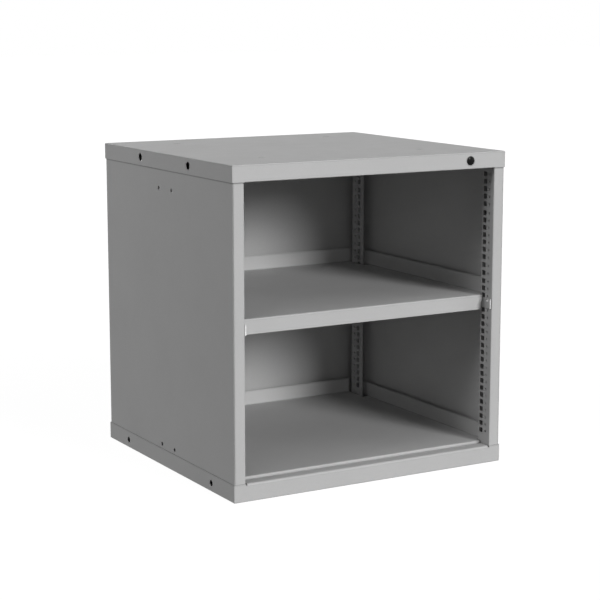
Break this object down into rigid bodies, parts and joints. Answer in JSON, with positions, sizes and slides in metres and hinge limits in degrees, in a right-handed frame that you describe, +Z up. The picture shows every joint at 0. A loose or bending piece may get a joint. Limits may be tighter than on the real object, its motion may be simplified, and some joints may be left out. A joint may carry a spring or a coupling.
{
  "type": "overhead storage cabinet",
  "caption": "Open-fronted sheet-steel cabinet with a skirted cap and base, slotted posts at its corners, and a lift-out tray shelf on hooked clips over a lift-out bottom tray.",
  "frame": {"origin": "middle of the footprint, on the surface that the base stands on", "axes": "+Z up, +Y to the back wall, so the open front faces -Y"},
  "size_m": [0.762, 0.7146, 0.7906],
  "materials": {
    "grey_powder_coat": "satin",
    "zinc_plated_steel": "bright",
    "black_plastic": "satin"
  },
  "bodies": {
    "carcass": {"top_cap": "grey_powder_coat", "base_pan": "grey_powder_coat", "back_panel": "grey_powder_coat", "left_side_panel": "grey_powder_coat", "right_side_panel": "grey_powder_coat", "left_bearer": "grey_powder_coat", "right_bearer": "grey_powder_coat", "lock_hole_plug": "black_plastic", "stacking_nuts": "grey_powder_coat", "front_left_upright": "grey_powder_coat", "front_right_upright": "grey_powder_coat", "rear_left_upright": "grey_powder_coat", "rear_right_upright": "grey_powder_coat", "front_left_clip": "zinc_plated_steel", "front_right_clip": "zinc_plated_steel", "rear_left_clip": "zinc_plated_steel", "rear_right_clip": "zinc_plated_steel"},
    "adjustable_shelf": {"adjustable_shelf": "grey_powder_coat", "adjustable_shelf_stiffener": "grey_powder_coat"},
    "bottom_shelf": {"bottom_shelf": "grey_powder_coat", "bottom_shelf_stiffener": "grey_powder_coat"}
  },
  "joints": [
    {"name": "adjustable_shelf_lift", "type": "slide", "parent": "carcass", "child": "adjustable_shelf", "axis": [0, 0, 1], "range_m": [0, 0.28]},
    {"name": "bottom_shelf_lift", "type": "slide", "parent": "carcass", "child": "bottom_shelf", "axis": [0, 0, 1], "range_m": [0, 0.32]}
  ]
}
